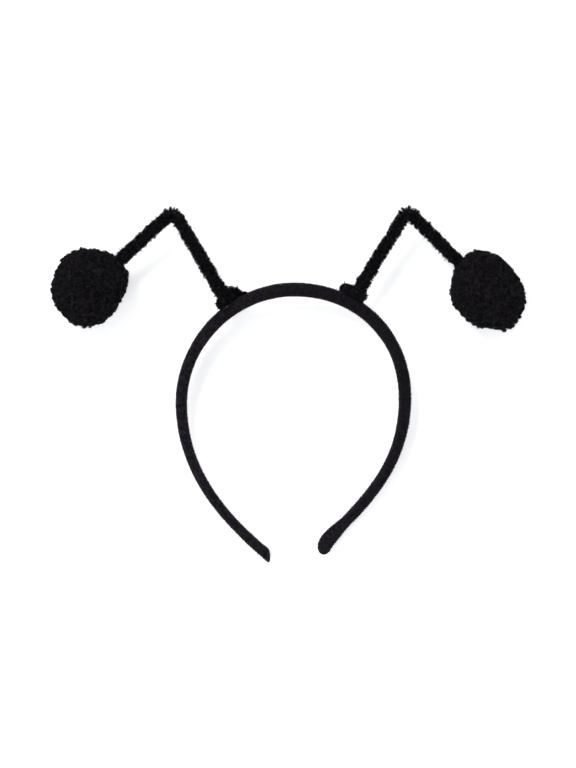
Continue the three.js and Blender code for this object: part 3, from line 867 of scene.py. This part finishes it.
def cover_fabric():
    """Matte black knit, drawn close over the padding"""
    finish = Finish("black_cover_knit")
    cloth = finish.node("ShaderNodeUVMap", dict(uv_map="cloth"), {}, "UV")
    along = finish.node("ShaderNodeSeparateXYZ", {}, {"Vector": cloth}, "X")
    around = finish.node("ShaderNodeSeparateXYZ", {}, {"Vector": cloth}, "Y")
    slip = finish.noise(2.2) * 0.35
    ribs = ((around + slip) * (TAU / 0.52)).wave()
    courses = ((along + ribs * 0.16 + slip) * (TAU / 0.44)).wave()
    knit = ribs * 0.55 + courses * 0.45
    tone = finish.noise(9.0, 3.0)
    grey = finish.noise(5.5, 2.0).between(0.42, 0.6)
    deep = finish.mix(grey, rgb(0.0026, 0.0017, 0.0037), rgb(0.0026, 0.0023, 0.0028))
    pale = finish.mix(grey, rgb(0.0178, 0.013, 0.0226), rgb(0.0162, 0.0145, 0.0169))
    blotch = finish.noise(1.9, 2.5, 0.6)
    shade = finish.mix(blotch.between(0.38, 0.62) * 0.8 + tone * 0.2, deep, pale)
    # Darkest at that distance from the crown and lighter along the band away from it
    blackest_share = (along - BLACKEST_AT).math("ABSOLUTE").between(BLACKEST_REACH, 20.0)
    shade = finish.mix(blackest_share * 0.61, shade, rgb(0.003, 0.0028, 0.0034))
    worn = finish.mix(knit * 0.22, shade, rgb(0.0165, 0.0145, 0.0188))
    lint = finish.noise(0.8, 1.0).between(0.72, 0.77) * 0.35
    colour = finish.mix(lint, worn, rgb(0.06, 0.057, 0.063))
    fuzz = finish.noise(0.35, 3.0, 0.7)
    height = knit * 0.65 + fuzz * 0.5 + finish.noise(3.5) * 0.7
    return finish.surface(
        Base_Color=colour,
        Roughness=0.8 + 0.18 * tone,
        Normal=finish.bump(height, 0.16),
        Specular_IOR_Level=0.06,
        Sheen_Weight=0.012,
        Sheen_Roughness=0.4,
        Sheen_Tint=rgb(0.6, 0.5, 0.74),
    )


def chenille_pile():
    """The blackest of the cloths: short bristling pile, darkened with painted shade where the cloth numbers say
    so
    """
    finish = Finish("black_chenille_pile")
    strands = finish.noise(1.1, 2.0, 0.6)
    tone = finish.noise(3.0)
    cloth = finish.node("ShaderNodeUVMap", dict(uv_map="cloth"), {}, "UV")
    foot_shade = finish.node("ShaderNodeSeparateXYZ", {}, {"Vector": cloth}, "X")
    light = finish.mix(tone.between(0.4, 0.6), rgb(0.0365, 0.0285, 0.034), rgb(0.0285, 0.0275, 0.0375))
    # Painted shade: the pile on the feet is darkened nearly to black by the cloth number
    light = finish.mix(foot_shade, light, rgb(0.0015, 0.0015, 0.0018))
    colour = finish.mix(strands.between(0.44, 0.64), rgb(0.0009, 0.0008, 0.0012), light)
    return finish.surface(
        Base_Color=colour,
        Roughness=0.62 + 0.25 * strands,
        Normal=finish.bump(strands, 0.08),
        Specular_IOR_Level=0.15,
    )


def pompom_yarn():
    """Soft clipped yarn with a faint brown-violet cast"""
    finish = Finish("black_pompom_yarn")
    strands = finish.noise(1.3, 2.5, 0.6)
    tuft = finish.noise(4.0, 2.0)
    hue = finish.noise(7.0).between(0.42, 0.58)
    warm = finish.mix(hue, rgb(0.009, 0.0069, 0.0085), rgb(0.0074, 0.0072, 0.0084))
    dark = finish.mix(tuft.between(0.4, 0.6), rgb(0.0014, 0.0011, 0.0017), warm)
    light = finish.mix(hue, rgb(0.0258, 0.0212, 0.0258), rgb(0.0228, 0.0216, 0.0258))
    colour = finish.mix(strands.between(0.42, 0.64) * (0.7 + 0.6 * tuft), dark, light)
    return finish.surface(
        Base_Color=colour,
        Roughness=0.7 + 0.25 * strands,
        Normal=finish.bump(strands, 0.08),
        Specular_IOR_Level=0.15,
    )


def hot_glue():
    """Clear glue, nearly black with the cover behind it"""
    finish = Finish("clear_hot_glue")
    cloud = finish.noise(1.1, 2.0)
    colour = finish.mix(cloud.between(0.35, 0.65), rgb(0.0022, 0.0022, 0.0022), rgb(0.0045, 0.0043, 0.004))
    return finish.surface(
        Base_Color=colour,
        Roughness=0.17 + 0.08 * cloud,
        Normal=finish.bump(finish.noise(0.9), 0.05),
        IOR=1.24,
    )


def table_top():
    """Plain pale table top, which glows faintly: painted light that washes out the shadows on it"""
    finish = Finish("pale_glowing_table_top")
    grain = finish.noise(40.0, 3.0)
    colour = finish.mix(grain, rgb(0.9, 0.9, 0.9), rgb(0.93, 0.93, 0.93))
    return finish.surface(
        Base_Color=colour,
        Roughness=0.85 + 0.1 * grain,
        Specular_IOR_Level=0.1,
        # Painted light: the table top glows, lifting the shadows that fall on it
        Emission_Color=rgb(1, 1, 1),
        Emission_Strength=0.35,
    )


def build_table():
    half = 4.0
    mesh = bpy.data.meshes.new("table_top")
    corners = [(-half, -half, 0), (half, -half, 0), (half, half, 0), (-half, half, 0)]
    mesh.from_pydata(corners, [], [(0, 1, 2, 3)])
    mesh.materials.append(table_top())
    table = bpy.data.objects.new("table_top", mesh)
    bpy.context.scene.collection.objects.link(table)


def aim(thing, place, target, up):
    """Puts a thing at a place, looking at a target"""
    back = unit(np.asarray(place, float) - np.asarray(target, float))
    right = unit(np.cross(up, back))
    above = np.cross(back, right)
    columns = [(*right, 0), (*above, 0), (*back, 0), (*place, 1)]
    thing.matrix_world = Matrix(columns).transposed()
    bpy.context.scene.collection.objects.link(thing)


def build_light(name, place, size, power):
    lamp = bpy.data.lights.new(name, "AREA")
    lamp.shape = "RECTANGLE"
    lamp.size, lamp.size_y = size
    lamp.energy = power
    aim(bpy.data.objects.new(name, lamp), place, (0, 0, 0), (0, 1, 0))


def build_studio():
    """Light from all round with a soft lamp above, and the camera straight above the hoop"""
    scene = bpy.context.scene
    world = bpy.data.worlds.new("studio")
    world.use_nodes = True
    backdrop = world.node_tree.nodes["Background"]
    backdrop.inputs["Color"].default_value = rgb(0.95, 0.96, 1.0)
    backdrop.inputs["Strength"].default_value = 0.82
    scene.world = world
    build_light("soft_lamp", (-0.55, 0.75, 1.5), (0.45, 0.45), 14)
    build_light("low_lamp", (-0.9, -1.0, 0.9), (0.8, 0.6), 7)
    scene.view_settings.view_transform = "Standard"
    lens = bpy.data.cameras.new("camera")
    lens.lens = CAMERA_LENS
    lens.sensor_width = 36
    lens.clip_start = 0.01
    camera = bpy.data.objects.new("camera", lens)
    aim(camera, (*CAMERA_OVER, CAMERA_HEIGHT), (*CAMERA_OVER, 0), (0, 1, 0))
    scene.camera = camera


build_table()
build_studio()
band_cover(cover_fabric())
pile = chenille_pile()
yarn = pompom_yarn()
for antenna in ANTENNAE:
    antenna_piece(antenna, pile)
    pompom_piece(antenna, yarn)
glue_piece(hot_glue())
